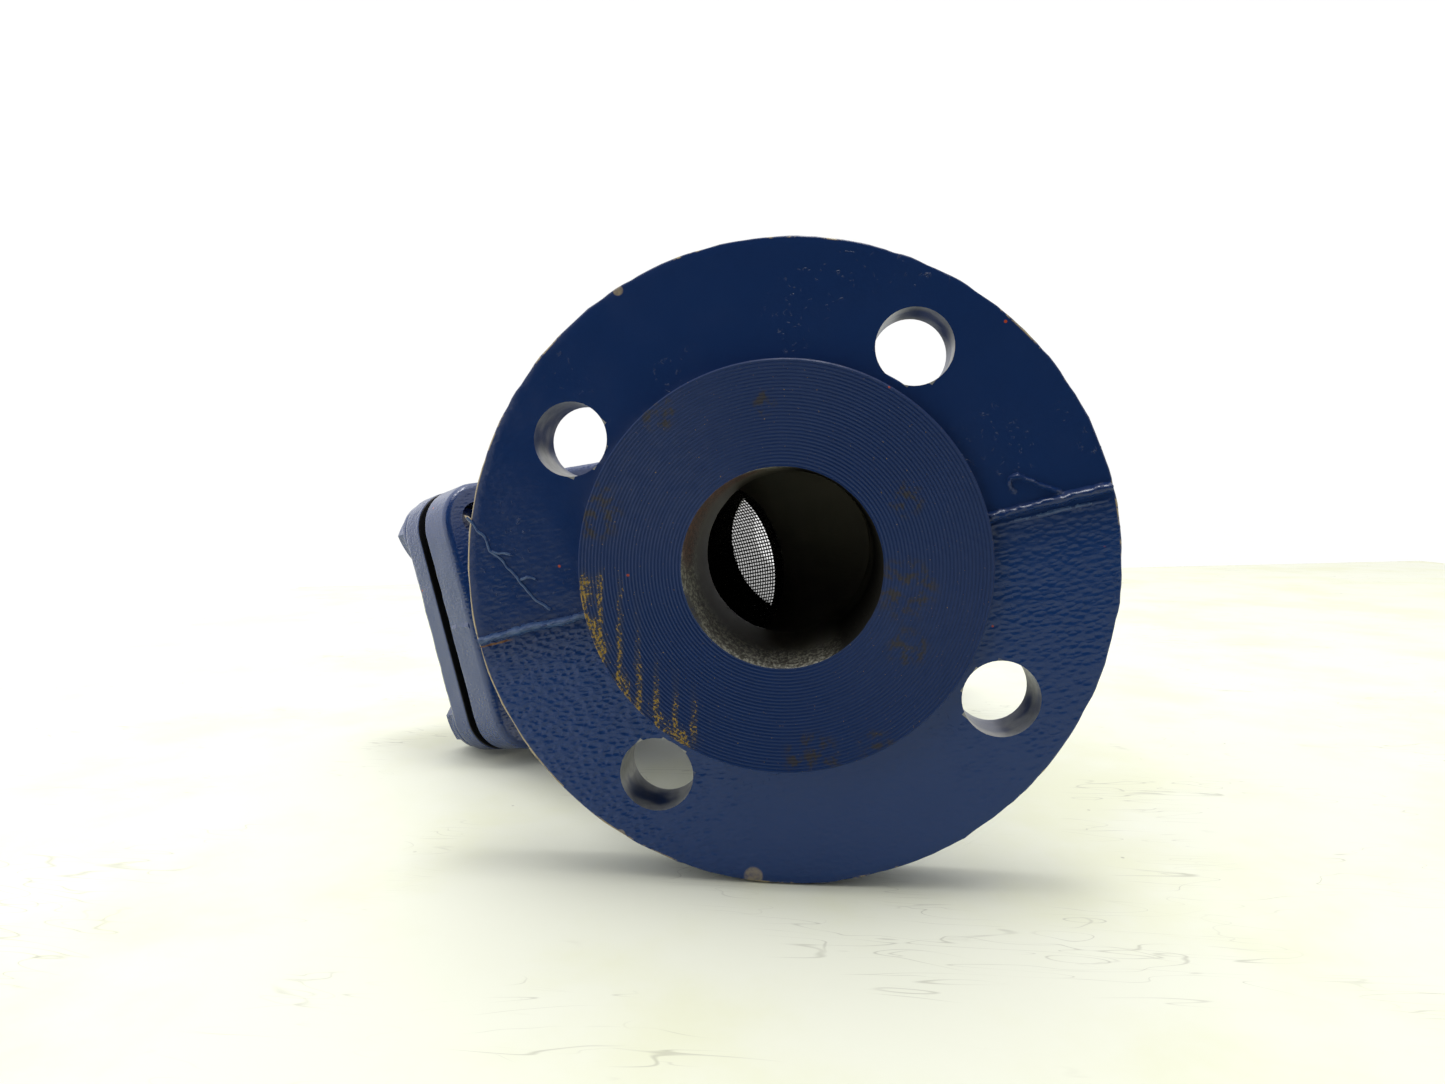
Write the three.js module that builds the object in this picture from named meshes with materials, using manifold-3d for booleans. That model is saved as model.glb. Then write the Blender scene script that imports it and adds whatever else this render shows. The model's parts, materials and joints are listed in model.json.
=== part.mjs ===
// A DN 50 flanged Y strainer, lying on its side: two flange rims and one corner of the cover touch the ground.
// It is built with the pipe axis along +Y, the inlet at y = 0 and the leg leaning to -X, and rolled onto the
// ground at the end. Lengths are in millimetres.
import * as THREE from "three";
import { mergeVertices } from "three/addons/utils/BufferGeometryUtils.js";
import Module from "manifold-3d";

const GAP = 0.3; // between pieces that touch
const PAST = 1; // how far a cutter runs past the face that it opens

// Pipe run and flanges, DN 50 PN 16
const FACE_TO_FACE = 230;
const BORE_RADIUS = 25;
const RAISED_FACE_RADIUS = 51;
const RAISED_FACE_HEIGHT = 3;
const FLANGE_RADIUS = 81.5;
const FLANGE_BACK = 21; // from the raised face to the back of the flange
const FLANGE_ROUNDING = 1.5;
const FLANGE_FILLET = 6;
const BOLT_CIRCLE_RADIUS = 62.5;
const BOLT_HOLE_RADIUS = 9.5;
const BOLT_HOLES = 4;
const NECK_RADIUS = 34;
const BELLY_RADIUS = 38;
const BELLY = { rises: 34, from: 62, to: 136, falls: 186 }; // y of the swelling round the chamber

// Leg: its own axis starts where it crosses the pipe axis, and "out" is counted along it
const LEG_ANGLE = THREE.MathUtils.degToRad(55); // to the pipe axis
const LEG_CROSSING = 65; // from the inlet face
const LEG_START = 8; // the middle of the rounded end, inside the belly
const LEG_RADIUS = 42;
const LEG_BORE_RADIUS = 34;
const WALL_BACK = 31; // from the leg axis to the outlet side of the wall between the two bores
const LEG_FLARE_RADIUS = 44.5;
const LEG_FLARE_LENGTH = 7;
const SEAT_OUT = 25;
const SEAT_RADIUS = 26;
const LEG_FLANGE_BACK = 108;
const LEG_FLANGE_FACE = 124;
const LEG_FACING = { radius: 45, height: 1.5 }; // the round raised face that the gasket lies on
const SQUARE_HALF = 50; // the leg flange and the cover are squares with round corners
const SQUARE_CORNER = 15;
const SQUARE_CHAMFER = 1;
const COVER_BOLT_OFFSET = 36.5; // from the leg axis, both ways
const TAPPED_RADIUS = 6.3;

// Gasket and cover
const GASKET = { inner: 35, outer: 45, thickness: 2.4 };
const COVER_FACE = LEG_FLANGE_FACE + GASKET.thickness + 2 * GAP;
const COVER_THICKNESS = 11;
const COVER_OUTSIDE = COVER_FACE + COVER_THICKNESS;
const SPIGOT = { inner: 30.2, outer: 33.2, height: 7 };
const COVER_HOLE_RADIUS = 6.6;
const BOSS = { foot: 22, top: 19, height: 9 };
const PLUG_HOLE_RADIUS = 9.8;

// Bolts, washers and drain plug
const BOLT = { shank: 6, head: 7.5, acrossFlats: 18, tip: LEG_FLANGE_BACK + 6, chamfer: 1 };
const WASHER = { inner: 6.5, outer: 12, thickness: 2.5 };
const PLUG = { shank: 9.5, head: 9, acrossFlats: 24, collar: 15, collarHeight: 2.5, tip: COVER_FACE + 2, chamfer: 1.2 };
const PLUG_SEAL = { inner: 9.9, outer: 14, thickness: 1.6 };

// Screen
const SCREEN = { inner: 27.6, outer: 28.4, from: SEAT_OUT + GAP, to: COVER_FACE - GAP };
const BAND = { inner: 28.7, outer: 29.6, height: 6 };
const SEAM = { inner: 28.7, outer: 29.3, width: 8 };

const ROUND = { flange: 64, bore: 48, leg: 48, small: 24, fillet: 4, corner: 6 };
const COLOUR = { paint: 0x1d3a72, bareSteel: 0x9a9c9c, brass: 0xa9884a, copper: 0xb0704a, gasket: 0x15161a };

const wasm = await Module();
wasm.setup();

/** A three.js geometry as a closed manifold-3d solid. */
function solid(geometry) {
  const bare = geometry.index ? geometry.toNonIndexed() : geometry.clone();
  bare.deleteAttribute("normal");
  bare.deleteAttribute("uv");
  const merged = mergeVertices(bare, 1e-4);
  const corners = [];
  for (let i = 0; i < merged.index.count; i += 3) {
    const [a, b, c] = merged.index.array.slice(i, i + 3);
    if (a !== b && b !== c && c !== a) corners.push(a, b, c);
  }
  return new wasm.Manifold(
    new wasm.Mesh({
      numProp: 3,
      vertProperties: merged.attributes.position.array,
      triVerts: new Uint32Array(corners),
    }),
  );
}

/** A named three.js mesh made from a manifold-3d solid. */
function mesh(name, shape, color, metalness = 0.1) {
  const made = shape.getMesh();
  const geometry = new THREE.BufferGeometry();
  geometry.setAttribute("position", new THREE.BufferAttribute(made.vertProperties, 3));
  geometry.setIndex(new THREE.BufferAttribute(made.triVerts, 1));
  geometry.computeVertexNormals();
  const material = new THREE.MeshStandardMaterial({ color, metalness, roughness: 0.45 });
  const result = new THREE.Mesh(geometry, material);
  result.name = name;
  return result;
}

function union(first, ...rest) {
  return rest.reduce((sum, shape) => sum.add(shape), first);
}

function cut(from, ...cutters) {
  return cutters.reduce((left, shape) => left.subtract(shape), from);
}

/** A closed profile of [radius, distance along the axis] turned about Y. */
function turned(profile, segments) {
  const points = profile.map(([radius, along]) => new THREE.Vector2(radius, along));
  return new THREE.LatheGeometry(points, segments);
}

function rod(radius, from, to, segments) {
  return turned([[0, from], [radius, from], [radius, to], [0, to]], segments);
}

function tube(inner, outer, from, to, segments) {
  return turned([[inner, from], [outer, from], [outer, to], [inner, to], [inner, from]], segments);
}

/** Points on a quarter circle or less, as [radius, along], from one angle to another about a centre. */
function arc(radius, along, size, fromDegrees, toDegrees, steps) {
  return Array.from({ length: steps + 1 }, (_, i) => {
    const angle = THREE.MathUtils.degToRad(fromDegrees + ((toDegrees - fromDegrees) * i) / steps);
    return [radius + size * Math.cos(angle), along + size * Math.sin(angle)];
  });
}

/** From the pipe's frame to the leg's: Y runs out along the leg from the crossing of the two axes. */
const LEG_FRAME = new THREE.Matrix4().makeRotationZ(LEG_ANGLE).setPosition(0, LEG_CROSSING, 0);

function onLeg(geometry) {
  return solid(geometry.clone().applyMatrix4(LEG_FRAME));
}

/** The same geometry moved sideways to each cover bolt, going round the leg axis. */
function atCoverBolts(geometry) {
  const corners = [[-1, -1], [1, -1], [1, 1], [-1, 1]];
  return corners.map(([x, z]) =>
    onLeg(geometry.clone().translate(x * COVER_BOLT_OFFSET, 0, z * COVER_BOLT_OFFSET)),
  );
}

/** A square plate with round corners and chamfered edges, between two distances along the leg. */
function squarePlate(from, to) {
  const h = SQUARE_HALF - SQUARE_CHAMFER;
  const r = SQUARE_CORNER - SQUARE_CHAMFER;
  const outline = new THREE.Shape();
  outline.absarc(h - r, h - r, r, 0, Math.PI / 2);
  outline.absarc(r - h, h - r, r, Math.PI / 2, Math.PI);
  outline.absarc(r - h, r - h, r, Math.PI, 1.5 * Math.PI);
  outline.absarc(h - r, r - h, r, 1.5 * Math.PI, 2 * Math.PI);
  const plate = new THREE.ExtrudeGeometry(outline, {
    depth: to - from - 2 * SQUARE_CHAMFER,
    bevelThickness: SQUARE_CHAMFER,
    bevelSize: SQUARE_CHAMFER,
    bevelSegments: 1,
    curveSegments: ROUND.corner,
  });
  return plate.rotateX(-Math.PI / 2).translate(0, from + SQUARE_CHAMFER, 0);
}

/** A hexagon head from one distance to another, its outer corners chamfered. */
function hexHead({ acrossFlats, chamfer }, from, to) {
  const cornerRadius = acrossFlats / Math.sqrt(3);
  const prism = new THREE.CylinderGeometry(cornerRadius, cornerRadius, to - from, 6);
  const dome = turned(
    [[0, from], [cornerRadius + PAST, from], [cornerRadius + PAST, to - chamfer], [acrossFlats / 2, to], [0, to]],
    ROUND.small,
  );
  return solid(prism.translate(0, (from + to) / 2, 0)).intersect(solid(dome));
}

/** One flange and its neck as a profile from the raised face inwards, the face at y = 0. */
function flangeProfile() {
  const rim = FLANGE_RADIUS - FLANGE_ROUNDING;
  return [
    [RAISED_FACE_RADIUS, 0],
    [RAISED_FACE_RADIUS, RAISED_FACE_HEIGHT],
    ...arc(rim, RAISED_FACE_HEIGHT + FLANGE_ROUNDING, FLANGE_ROUNDING, -90, 0, 3),
    ...arc(rim, FLANGE_BACK - FLANGE_ROUNDING, FLANGE_ROUNDING, 0, 90, 3),
    ...arc(NECK_RADIUS + FLANGE_FILLET, FLANGE_BACK + FLANGE_FILLET, FLANGE_FILLET, 270, 180, ROUND.fillet),
  ];
}

/** The swelling between the necks, eased in and out, as profile points. */
function bellyProfile() {
  const steps = 5;
  const eased = (from, to, low, high) =>
    Array.from({ length: steps + 1 }, (_, i) => {
      const share = i / steps;
      const rise = (1 - Math.cos(Math.PI * share)) / 2;
      return [low + (high - low) * rise, from + (to - from) * share];
    });
  return [
    ...eased(BELLY.rises, BELLY.from, NECK_RADIUS, BELLY_RADIUS),
    ...eased(BELLY.to, BELLY.falls, BELLY_RADIUS, NECK_RADIUS),
  ];
}

function castOutside() {
  const inlet = flangeProfile();
  const outlet = flangeProfile().reverse().map(([radius, along]) => [radius, FACE_TO_FACE - along]);
  const run = turned([[0, 0], ...inlet, ...bellyProfile(), ...outlet, [0, FACE_TO_FACE]], ROUND.flange);
  const leg = turned(
    [
      ...arc(0, LEG_START, LEG_RADIUS, -90, 0, 2 * ROUND.fillet),
      [LEG_RADIUS, LEG_FLANGE_BACK - LEG_FLARE_LENGTH],
      [LEG_FLARE_RADIUS, LEG_FLANGE_BACK + PAST],
      [0, LEG_FLANGE_BACK + PAST],
    ],
    ROUND.leg,
  );
  const squareFace = LEG_FLANGE_FACE - LEG_FACING.height;
  const facing = rod(LEG_FACING.radius, squareFace - PAST, LEG_FLANGE_FACE, ROUND.leg);
  return union(solid(run), onLeg(leg), onLeg(squarePlate(LEG_FLANGE_BACK, squareFace)), onLeg(facing));
}

/** A block on one side of the leg axis, as large as the whole run. */
function halfSpace(side) {
  const block = new THREE.BoxGeometry(FACE_TO_FACE, 2 * FACE_TO_FACE, 2 * BELLY_RADIUS);
  return onLeg(block.translate((side * FACE_TO_FACE) / 2, 0, 0));
}

/** The inlet bore, as far as the wall that turns the flow down to the seat, and the passage to the seat. */
function inletCavity() {
  const bore = solid(rod(BORE_RADIUS, -PAST, FACE_TO_FACE / 2 + BORE_RADIUS, ROUND.bore));
  const passage = onLeg(rod(SEAT_RADIUS, -FACE_TO_FACE, FACE_TO_FACE, ROUND.bore));
  const throat = onLeg(rod(SEAT_RADIUS, 0, SEAT_OUT + PAST, ROUND.bore));
  return bore.intersect(union(halfSpace(-1), passage)).add(throat);
}

/** The outlet bore, from behind the wall between the two bores. */
function outletCavity() {
  const bore = solid(rod(BORE_RADIUS, LEG_CROSSING - BORE_RADIUS, FACE_TO_FACE + PAST, ROUND.bore));
  const wall = onLeg(rod(WALL_BACK, -FACE_TO_FACE, SEAT_OUT, ROUND.leg));
  return cut(bore.intersect(halfSpace(1)), wall);
}

function flangeHoles() {
  const hole = rod(BOLT_HOLE_RADIUS, -PAST, FACE_TO_FACE + PAST, ROUND.small);
  const between = new THREE.BoxGeometry(4 * FLANGE_RADIUS, FACE_TO_FACE - 2 * FLANGE_BACK - 2 * PAST, 4 * FLANGE_RADIUS);
  const keep = solid(between.translate(0, FACE_TO_FACE / 2, 0));
  return Array.from({ length: BOLT_HOLES }, (_, i) => {
    const angle = ((i + 0.5) * 2 * Math.PI) / BOLT_HOLES;
    const x = BOLT_CIRCLE_RADIUS * Math.cos(angle);
    const z = BOLT_CIRCLE_RADIUS * Math.sin(angle);
    return cut(solid(hole.clone().translate(x, 0, z)), keep);
  });
}

function strainerBody() {
  const legBore = onLeg(rod(LEG_BORE_RADIUS, SEAT_OUT, LEG_FLANGE_FACE + PAST, ROUND.leg));
  const tapped = atCoverBolts(rod(TAPPED_RADIUS, LEG_FLANGE_BACK - PAST, LEG_FLANGE_FACE + PAST, ROUND.small));
  return cut(castOutside(), inletCavity(), outletCavity(), legBore, ...flangeHoles(), ...tapped);
}

function cover() {
  const slab = onLeg(squarePlate(COVER_FACE, COVER_OUTSIDE));
  const spigot = onLeg(tube(SPIGOT.inner, SPIGOT.outer, COVER_FACE - SPIGOT.height, COVER_FACE + PAST, ROUND.leg));
  const boss = onLeg(
    turned(
      [
        [0, COVER_OUTSIDE - PAST],
        [BOSS.foot, COVER_OUTSIDE - PAST],
        [BOSS.foot, COVER_OUTSIDE],
        [BOSS.top, COVER_OUTSIDE + BOSS.height],
        [0, COVER_OUTSIDE + BOSS.height],
      ],
      ROUND.leg,
    ),
  );
  const plugHole = onLeg(rod(PLUG_HOLE_RADIUS, COVER_FACE - PAST, COVER_OUTSIDE + BOSS.height + PAST, ROUND.small));
  const bolts = atCoverBolts(rod(COVER_HOLE_RADIUS, COVER_FACE - PAST, COVER_OUTSIDE + PAST, ROUND.small));
  return cut(union(slab, spigot, boss), plugHole, ...bolts);
}

function coverBolt() {
  const underHead = COVER_OUTSIDE + WASHER.thickness + 2 * GAP;
  const shank = turned(
    [
      [0, BOLT.tip],
      [BOLT.shank - BOLT.chamfer, BOLT.tip],
      [BOLT.shank, BOLT.tip + BOLT.chamfer],
      [BOLT.shank, underHead + PAST],
      [0, underHead + PAST],
    ],
    ROUND.small,
  );
  return hexHead(BOLT, underHead, underHead + BOLT.head).add(solid(shank));
}

function drainPlug() {
  const seat = COVER_OUTSIDE + BOSS.height + PLUG_SEAL.thickness + 2 * GAP;
  const collarTop = seat + PLUG.collarHeight;
  const shank = turned(
    [
      [0, PLUG.tip],
      [PLUG.shank - PLUG.chamfer, PLUG.tip],
      [PLUG.shank, PLUG.tip + PLUG.chamfer],
      [PLUG.shank, seat],
      [PLUG.collar, seat],
      [PLUG.collar, collarTop],
      [0, collarTop],
    ],
    ROUND.small,
  );
  return hexHead(PLUG, collarTop - PAST, collarTop + PLUG.head).add(solid(shank));
}

/** A manifold-3d solid built about Y, as a geometry that can be moved about. */
function asGeometry(shape) {
  return mesh("", shape, COLOUR.paint).geometry;
}

/** The strip that laps the two edges of the rolled screen, on the side of the leg that faces the inlet. */
function seamStrip() {
  const from = SCREEN.from + BAND.height + GAP;
  const to = SCREEN.to - BAND.height - GAP;
  const ring = onLeg(tube(SEAM.inner, SEAM.outer, from, to, 2 * ROUND.leg));
  const window = new THREE.BoxGeometry(LEG_RADIUS, to - from + PAST, SEAM.width);
  return ring.intersect(onLeg(window.translate(-LEG_RADIUS / 2 - PAST, (from + to) / 2, 0)));
}

/** How far the body rolls about the pipe axis until a corner of the cover is as low as the flange rims. */
function restRoll() {
  const c = SQUARE_HALF - SQUARE_CORNER;
  const lowest = (roll) => {
    const sideways = COVER_OUTSIDE * Math.sin(LEG_ANGLE) + c * Math.cos(LEG_ANGLE);
    const round = SQUARE_CORNER * Math.hypot(Math.cos(LEG_ANGLE) * Math.sin(roll), Math.cos(roll));
    return sideways * Math.sin(roll) + c * Math.cos(roll) + round;
  };
  let [low, high] = [0, Math.PI / 4];
  for (let i = 0; i < 40; i += 1) {
    const middle = (low + high) / 2;
    if (lowest(middle) < FLANGE_RADIUS) low = middle;
    else high = middle;
  }
  return low;
}

const strainer = new THREE.Group();
strainer.name = "y_strainer";

const pieces = new THREE.Group();
pieces.rotation.y = -restRoll();
strainer.add(pieces);

pieces.add(mesh("strainer_body", strainerBody(), COLOUR.paint));
pieces.add(mesh("cover", cover(), COLOUR.paint));

const gasketFace = LEG_FLANGE_FACE + GAP;
const gasket = tube(GASKET.inner, GASKET.outer, gasketFace, gasketFace + GASKET.thickness, ROUND.leg);
pieces.add(mesh("cover_gasket", onLeg(gasket), COLOUR.gasket));

const washerFace = COVER_OUTSIDE + GAP;
const washer = tube(WASHER.inner, WASHER.outer, washerFace, washerFace + WASHER.thickness, ROUND.small);
atCoverBolts(asGeometry(coverBolt())).forEach((shape, i) => {
  pieces.add(mesh(`cover_bolt_${i + 1}`, shape, COLOUR.paint));
});
atCoverBolts(washer).forEach((shape, i) => {
  pieces.add(mesh(`cover_washer_${i + 1}`, shape, COLOUR.paint));
});

const sealFace = COVER_OUTSIDE + BOSS.height + GAP;
const seal = tube(PLUG_SEAL.inner, PLUG_SEAL.outer, sealFace, sealFace + PLUG_SEAL.thickness, ROUND.small);
pieces.add(mesh("drain_plug", onLeg(asGeometry(drainPlug())), COLOUR.brass, 0.8));
pieces.add(mesh("drain_plug_seal", onLeg(seal), COLOUR.copper, 0.8));

const topBand = tube(BAND.inner, BAND.outer, SCREEN.from, SCREEN.from + BAND.height, ROUND.leg);
const bottomBand = tube(BAND.inner, BAND.outer, SCREEN.to - BAND.height, SCREEN.to, ROUND.leg);
const gauze = tube(SCREEN.inner, SCREEN.outer, SCREEN.from, SCREEN.to, ROUND.leg);
pieces.add(mesh("screen_mesh", onLeg(gauze), COLOUR.bareSteel, 0.8));
pieces.add(mesh("screen_top_band", onLeg(topBand), COLOUR.bareSteel, 0.8));
pieces.add(mesh("screen_bottom_band", onLeg(bottomBand), COLOUR.bareSteel, 0.8));
pieces.add(mesh("screen_seam_strip", seamStrip(), COLOUR.bareSteel, 0.8));

// The origin is under the middle of the whole object, at the ground.
const box = new THREE.Box3().setFromObject(strainer, true);
const middle = box.getCenter(new THREE.Vector3());
pieces.position.set(-middle.x, -middle.y, -box.min.z);

export default strainer;
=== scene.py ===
"""The looks of a DN 50 flanged Y strainer: blue paint over a rough iron casting, on a white studio floor."""

import json
import math
from types import SimpleNamespace as Sizes

import bmesh
import bpy
import numpy as np
from mathutils import Matrix, Vector, noise


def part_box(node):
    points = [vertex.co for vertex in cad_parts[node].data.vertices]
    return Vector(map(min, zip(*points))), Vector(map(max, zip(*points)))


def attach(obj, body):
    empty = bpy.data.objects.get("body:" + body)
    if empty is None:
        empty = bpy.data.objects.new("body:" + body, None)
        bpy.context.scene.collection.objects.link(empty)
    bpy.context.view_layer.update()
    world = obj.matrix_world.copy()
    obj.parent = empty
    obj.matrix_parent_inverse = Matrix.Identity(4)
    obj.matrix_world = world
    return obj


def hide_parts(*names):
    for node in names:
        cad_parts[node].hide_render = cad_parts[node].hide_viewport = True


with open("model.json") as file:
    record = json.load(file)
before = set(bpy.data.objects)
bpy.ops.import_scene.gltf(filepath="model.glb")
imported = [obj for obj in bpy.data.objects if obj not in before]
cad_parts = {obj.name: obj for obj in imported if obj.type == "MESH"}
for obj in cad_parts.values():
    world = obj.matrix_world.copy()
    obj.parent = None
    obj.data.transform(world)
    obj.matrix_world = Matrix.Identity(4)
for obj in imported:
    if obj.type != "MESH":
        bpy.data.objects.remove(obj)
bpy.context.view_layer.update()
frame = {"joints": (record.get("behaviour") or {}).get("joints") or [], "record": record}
MM = 0.001

# Pipe run and flanges, in millimetres
FACE_TO_FACE = 230
BORE_RADIUS = 25
RAISED_FACE = Sizes(radius=51, height=3, pitch=0.85, depth=0.19)
FLANGE = Sizes(radius=81.2, rounding=0.6, back=21, fillet=6, draft=0.022)
BOLT_CIRCLE_RADIUS = 62.5
BOLT_HOLE_RADIUS = 9.5
BOLT_HOLES = 4
NECK_RADIUS = 34
BELLY = Sizes(radius=38, rises=34, full_from=62, full_to=136, falls=186)

# Leg, counted out along its own axis from where it crosses the pipe axis
LEG = Sizes(start=8, radius=42, flare=44.5, flare_length=7, bore=34)
SEAT = Sizes(out=25, radius=26)
WALL_BACK = 31
LEG_FLANGE = Sizes(back=108, square_face=122.5, face=124, facing=45)
SQUARE = Sizes(half=49.9, corner=15, cast_edge=2.4, crisp_edge=0.6)
COVER_BOLT_OFFSET = 36.5
TAPPED_RADIUS = 6.3
GASKET = Sizes(inner=35, outer=45)
COVER = Sizes(face=127, outside=138, hole=6.6)
SPIGOT = Sizes(inner=30.2, outer=33.2, height=7)
BOSS = Sizes(foot=22, top=19, height=9, hole=9.8)
BOLT = Sizes(shank=6, pitch=1.75, head=7.5, flats=18, tip=114)
WASHER = Sizes(inner=6.5, outer=12, thickness=2.5)
PLUG = Sizes(shank=9.5, pitch=1.8, head=9, flats=24, collar=15, collar_height=2.5)
PLUG_SEAL = Sizes(inner=9.9, outer=14, thickness=1.6)
SCREEN = Sizes(middle=28.0, wire=0.36, weave=0.12, pitch=1.17)
BAND = Sizes(inner=28.7, outer=29.6, height=6)
SEAM = Sizes(inner=28.7, outer=29.3, width=8)
GAP = 0.3
PAST = 1

# Roughness of the surfaces, as [how far they go in and out, the size of the lumps]
SIDE_DENTS = (0.19, 7)
CAST_SKIN = (0.22, 5)
FLANGE_SKIN = (0.12, 5)
BORE_SKIN = (0.12, 4)
GASKET_SKIN = (0.06, 2)

# How fine the meshes are: the casting's grid, and the segments round each kind of circle
CAST_VOXEL = 1.85
AROUND = Sizes(flange=236, cast=96, bore=112, small=48, screen=140)

# Lines on the flange face: ridges as [x, z, half width, height], runs of paint as [x, z]
LEG_SIDE_RIDGE = [[(-50, 0.2, 1.2, 2.0), (-58, -0.3, 1.1, 1.9), (-66, 0.3, 1.3, 2.2), (-81, -0.2, 1.2, 1.9)]]
FAR_SIDE_RIDGE = [
    [(50, -0.3, 1.4, 1.7), (58, 0, 1.3, 1.8), (69, 0.2, 1.6, 2.2), (81, 0, 1.4, 1.7)],
    [(50, -2.2, 0.8, 0.45), (60, -2.5, 1.0, 0.6), (69, -2.4, 1.0, 0.6), (79, -2.9, 0.7, 0.4)],
    [(58.9, 4.2, 0.6, 0.4), (57.7, 6.3, 0.7, 0.9), (58.5, 7.8, 0.75, 1.3), (60.4, 7.8, 0.8, 1.4)],
    [(60.4, 7.8, 0.8, 1.4), (62.9, 5.9, 0.75, 1.3), (65, 4.2, 0.75, 1.3), (68.5, 1.7, 1.0, 1.6)],
]
PAINT_RUNS = [
    [(-76.2, 32.2), (-72.4, 25.2), (-71.6, 21.9), (-69.1, 18), (-66.5, 12.5), (-63.8, 7.6), (-59.5, 2.7)],
    [(-71.6, 21.9), (-69.8, 20.4), (-66.2, 19.6)],
    [(-66.5, 12.5), (-64, 12.8), (-61.6, 11.2)],
]
PAINT_RUN_RADIUS = 0.46

# Marks on the flange: chips as [place, size], the rust and how far it is below the parting plane,
# the distance between streaks of rust, and stains as [x, z, size]
RIM_CHIPS = (((-26.4, 4.5, -75.3), 4.5), ((-57.5, 4, -57.5), 2.5), ((-23, 4.5, 77), 2.5))
SEAM_DROP = 1.7
SEAM_RUST = (-78, 3, -SEAM_DROP)
STREAK_GAP = 4.7
STAINS = (
    (-4, -48, 11),
    (12, -48, 7),
    (28, -12, 12),
    (25, -26, 8),
    (33, 9, 7),
    (6, 40, 5),
    (-20, 44, 7),
    (-42, 25, 12),
)

# Colors of the paint and of what shows through it
NAVY = (0.0065, 0.0235, 0.096)
NAVY_LIGHT = (0.008, 0.0275, 0.108)
# The lighter navy below is painted light: the floor's reflection on the casting's lower half, and the light
# on the cover and leg flange.
NAVY_LIT = (0.007, 0.034, 0.142)
OCHRE = (0.29, 0.19, 0.04)
CHIPPED_AND_EDGE_HIGHLIGHT = (0.36, 0.29, 0.17)
RUST = (0.13, 0.055, 0.02)
WORN = (0.07, 0.062, 0.03)
STAIN = (0.035, 0.031, 0.024)
PRIMER = (0.40, 0.06, 0.02)

# Plain materials: dark and light color, roughness, then how metallic, how bumpy and how finely patched
PLAIN = {
    # The next line's lighter paint goes on the paint runs and two ridges: thick paint, and also a painted
    # highlight along them.
    "thick_paint_and_highlight": ((0.01, 0.036, 0.125), (0.042, 0.085, 0.19), 0.32, 0.0, 0.08, 0.7),
    "bolt_steel": ((0.25, 0.25, 0.25), (0.5, 0.5, 0.49), 0.35),
    "plug_brass": ((0.42, 0.29, 0.11), (0.62, 0.45, 0.19), 0.3),
    "seal_copper": ((0.35, 0.15, 0.08), (0.6, 0.3, 0.18), 0.35),
    "gasket_fibre": ((0.008, 0.008, 0.009), (0.02, 0.02, 0.022), 0.7, 0.0, 0.1, 1.2),
    # The screen wires are much darker than the bands' steel: painted shade on the backlit wires.
    "shaded_wire_steel": ((0.03, 0.029, 0.025), (0.06, 0.058, 0.05), 0.6, 0.5),
    "band_steel": ((0.3, 0.3, 0.28), (0.5, 0.5, 0.47), 0.3),
}

# The studio, in metres in the row frame: corners as [x, y], and each wall's two corners and brightness
LENS = 22.89
CAMERA_PLACE = (0.04717, -0.33918, 0.10118)
CAMERA_BACK = (0.113914, -0.991706, 0.059526)
FLOOR = Sizes(left=-1.2, right=2.2, front=-0.8, back=1.8)
TENT_HEIGHT = 1.3
FRONT_LEFT, BACK_LEFT, BACK_RIGHT, FRONT_RIGHT = (-0.44, -0.8), (-0.486, 0.533), (0.858, 1.024), (1.1, -0.8)
WALLS = {
    "back": (BACK_LEFT, BACK_RIGHT, 0.975),
    "left": (FRONT_LEFT, BACK_LEFT, 1.4),
    "right": (BACK_RIGHT, FRONT_RIGHT, 0.98),
    "front": (FRONT_RIGHT, FRONT_LEFT, 0.9),
}


# ---------------------------------------------------------------- frames


def mount_place(name):
    """Where a mount of the record is, in metres."""
    return next(Vector(m["pos_m"]) for m in frame["record"]["mounts"] if m["name"] == name)


def joint_axis(name):
    """The direction that a joint slides along."""
    return next(Vector(j["axis"]) for j in frame["joints"] if j["name"] == name).normalized()


def box_middle(node):
    """The middle of a CAD node's box, in metres."""
    low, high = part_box(node)
    return (low + high) / 2


def axes_matrix(x, y, z, origin):
    """A frame in millimetres with those axes, as a matrix to the row frame in metres."""
    turn = Matrix((x, y, z)).transposed().to_4x4()
    return Matrix.Translation(origin) @ turn @ Matrix.Scale(MM, 4)


def build_frames():
    """The pipe frame, +Y along the pipe from the inlet face, and the leg frame, +Y out along the leg."""
    inlet_mount = mount_place("inlet_face")
    along = (mount_place("outlet_face") - inlet_mount).normalized()
    out = joint_axis("cover_off")
    side = (along * out.dot(along) - out).normalized()
    up = side.cross(along)
    on_leg = box_middle("screen_mesh")
    crossing = on_leg + out * ((inlet_mount.z - on_leg.z) / out.z)
    inlet = crossing + along * (inlet_mount - crossing).dot(along)
    return axes_matrix(side, along, up, inlet), axes_matrix(out.cross(up), out, up, crossing)


PIPE, LEG_AXES = build_frames()
LEG_IN_PIPE = PIPE.inverted() @ LEG_AXES


# ---------------------------------------------------------------- meshes


def add_object(name, data):
    """A new object in the scene with that mesh, light or camera."""
    made = bpy.data.objects.new(name, data)
    bpy.context.scene.collection.objects.link(made)
    return made


def mesh_object(name, points, faces):
    mesh = bpy.data.meshes.new(name)
    mesh.from_pydata(points, [], faces)
    return add_object(name, mesh)


def tidy_mesh(mesh):
    """Joins vertices that meet and turns every face outwards."""
    work = bmesh.new()
    work.from_mesh(mesh)
    bmesh.ops.remove_doubles(work, verts=work.verts, dist=1e-4)
    bmesh.ops.recalc_face_normals(work, faces=work.faces)
    work.to_mesh(mesh)
    work.free()


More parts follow.
